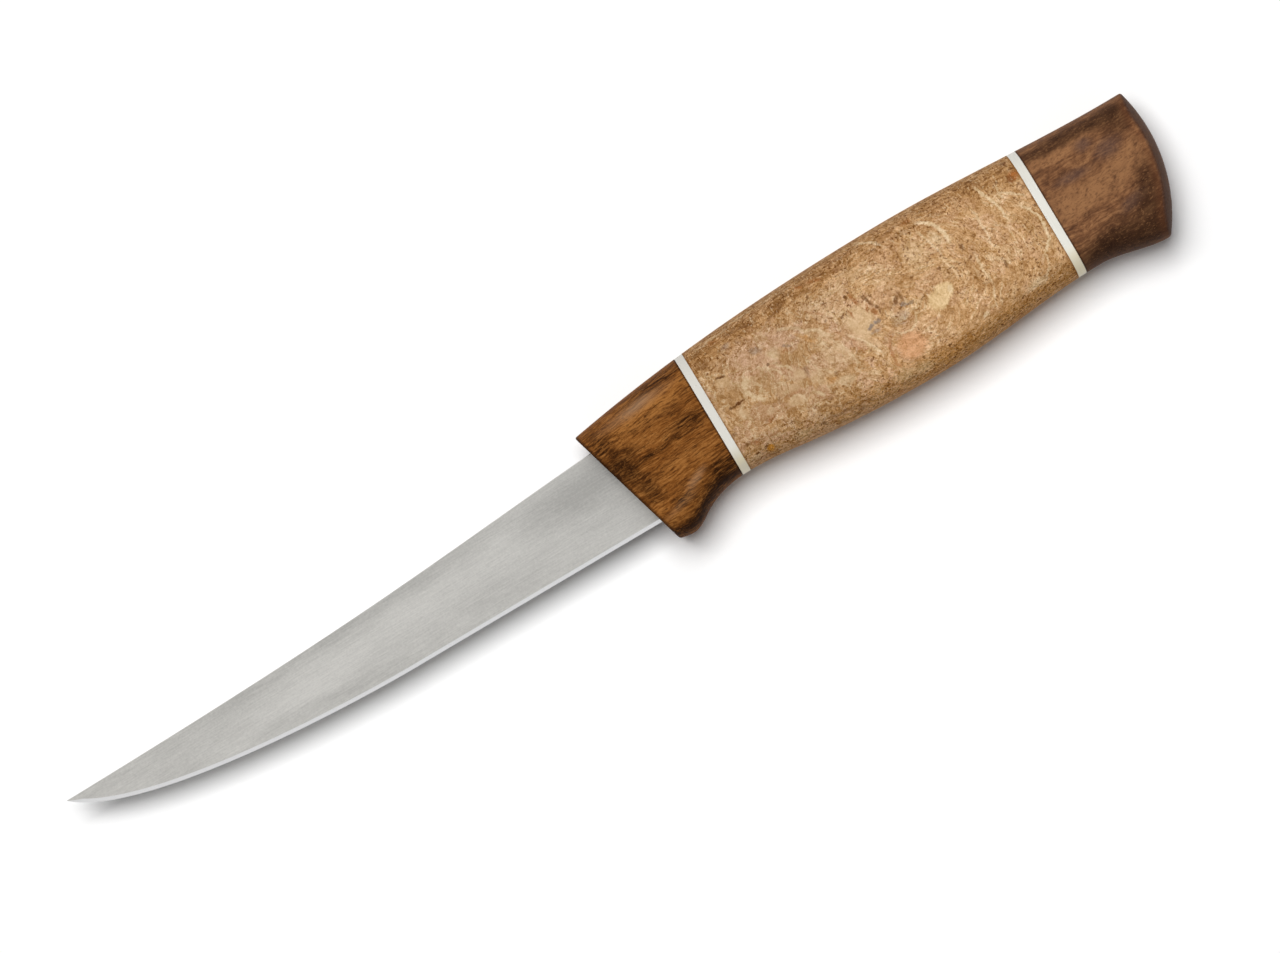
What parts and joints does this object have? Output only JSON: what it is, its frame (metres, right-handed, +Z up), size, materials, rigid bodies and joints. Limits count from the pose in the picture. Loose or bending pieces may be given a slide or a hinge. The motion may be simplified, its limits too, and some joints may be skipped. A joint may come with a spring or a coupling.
{
  "type": "fishing knife",
  "caption": "Fixed-blade fishing knife with a slender upswept flat-ground blade, guarded walnut bolster, pale spacers, bellied burl grip and flared walnut pommel.",
  "frame": {"origin": "under the middle of the knife's box, level with the flat side of the handle that the knife lies on", "axes": "+X from the point to the butt, +Y from the cutting edge to the spine, +Z up through the knife's thickness"},
  "size_m": [0.2512, 0.0334, 0.022],
  "materials": {
    "satin_steel": "satin, brushed lengthwise",
    "walnut": "oiled, fine lengthwise grain",
    "ivory_spacer": "smooth, satin",
    "burl": "oiled burl with swirls and flecks",
    "dark_walnut": "oiled, mottled cross figure",
    "epoxy": "cured, glossy"
  },
  "bodies": {
    "root": {"blade": "satin_steel", "front_bolster": "walnut", "front_spacer": "ivory_spacer", "grip": "burl", "rear_spacer": "ivory_spacer", "pommel": "dark_walnut", "tang_epoxy": "epoxy"}
  },
  "joints": []
}
